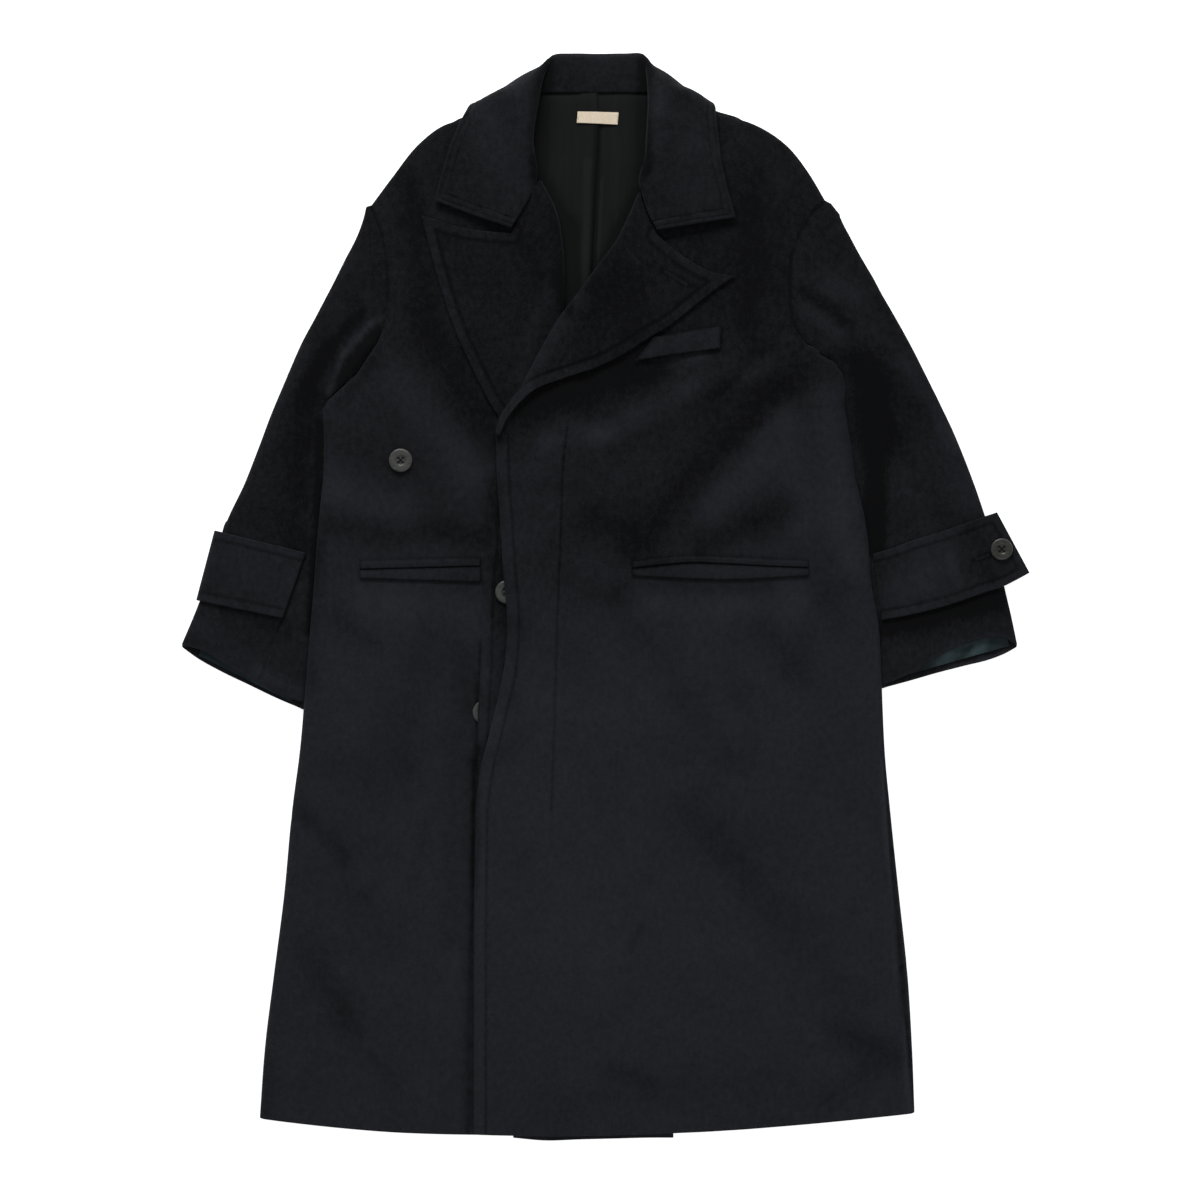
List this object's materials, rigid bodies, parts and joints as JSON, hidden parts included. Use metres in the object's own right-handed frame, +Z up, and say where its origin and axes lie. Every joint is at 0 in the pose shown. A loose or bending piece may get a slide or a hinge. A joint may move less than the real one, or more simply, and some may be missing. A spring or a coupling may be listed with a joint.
{
  "type": "wool coat",
  "caption": "Long wool coat laid flat on its back, closed in front, with wide notched lapels, a deep collar, sleeve tabs and welted pockets.",
  "frame": {"origin": "middle of the coat's outline on the surface that it lies on", "axes": "+X towards the wearer's left side, +Y from the hem towards the collar, +Z up from the surface, out of the front"},
  "size_m": [0.974, 1.2472, 0.0279],
  "materials": {
    "coat_cloth": "felted dark blue-black wool",
    "neck_lining": "smooth greenish-grey lining satin",
    "cuff_lining": "teal lining satin",
    "horn": "dark grey polished horn",
    "label_tape": "plain cream woven tape"
  },
  "bodies": {
    "root": {"back_left": "coat_cloth", "back_right": "coat_cloth", "back_pleat": "coat_cloth", "front_left": "coat_cloth", "front_right": "coat_cloth", "lapel_left": "coat_cloth", "lapel_right": "coat_cloth", "collar": "coat_cloth", "sleeve_left_upper": "coat_cloth", "sleeve_left_under": "coat_cloth", "sleeve_right_upper": "coat_cloth", "sleeve_right_under": "coat_cloth", "strap_left": "coat_cloth", "strap_right": "coat_cloth", "fly_underlay": "coat_cloth", "jet_left_top": "coat_cloth", "jet_left_bottom": "coat_cloth", "jet_right_top": "coat_cloth", "jet_right_bottom": "coat_cloth", "pocket_chest": "coat_cloth", "button_front": "horn", "button_fly_upper": "horn", "button_fly_lower": "horn", "button_strap": "horn", "lining_back": "neck_lining", "lining_cuff_left": "cuff_lining", "lining_cuff_right": "cuff_lining", "label": "label_tape"}
  },
  "joints": []
}
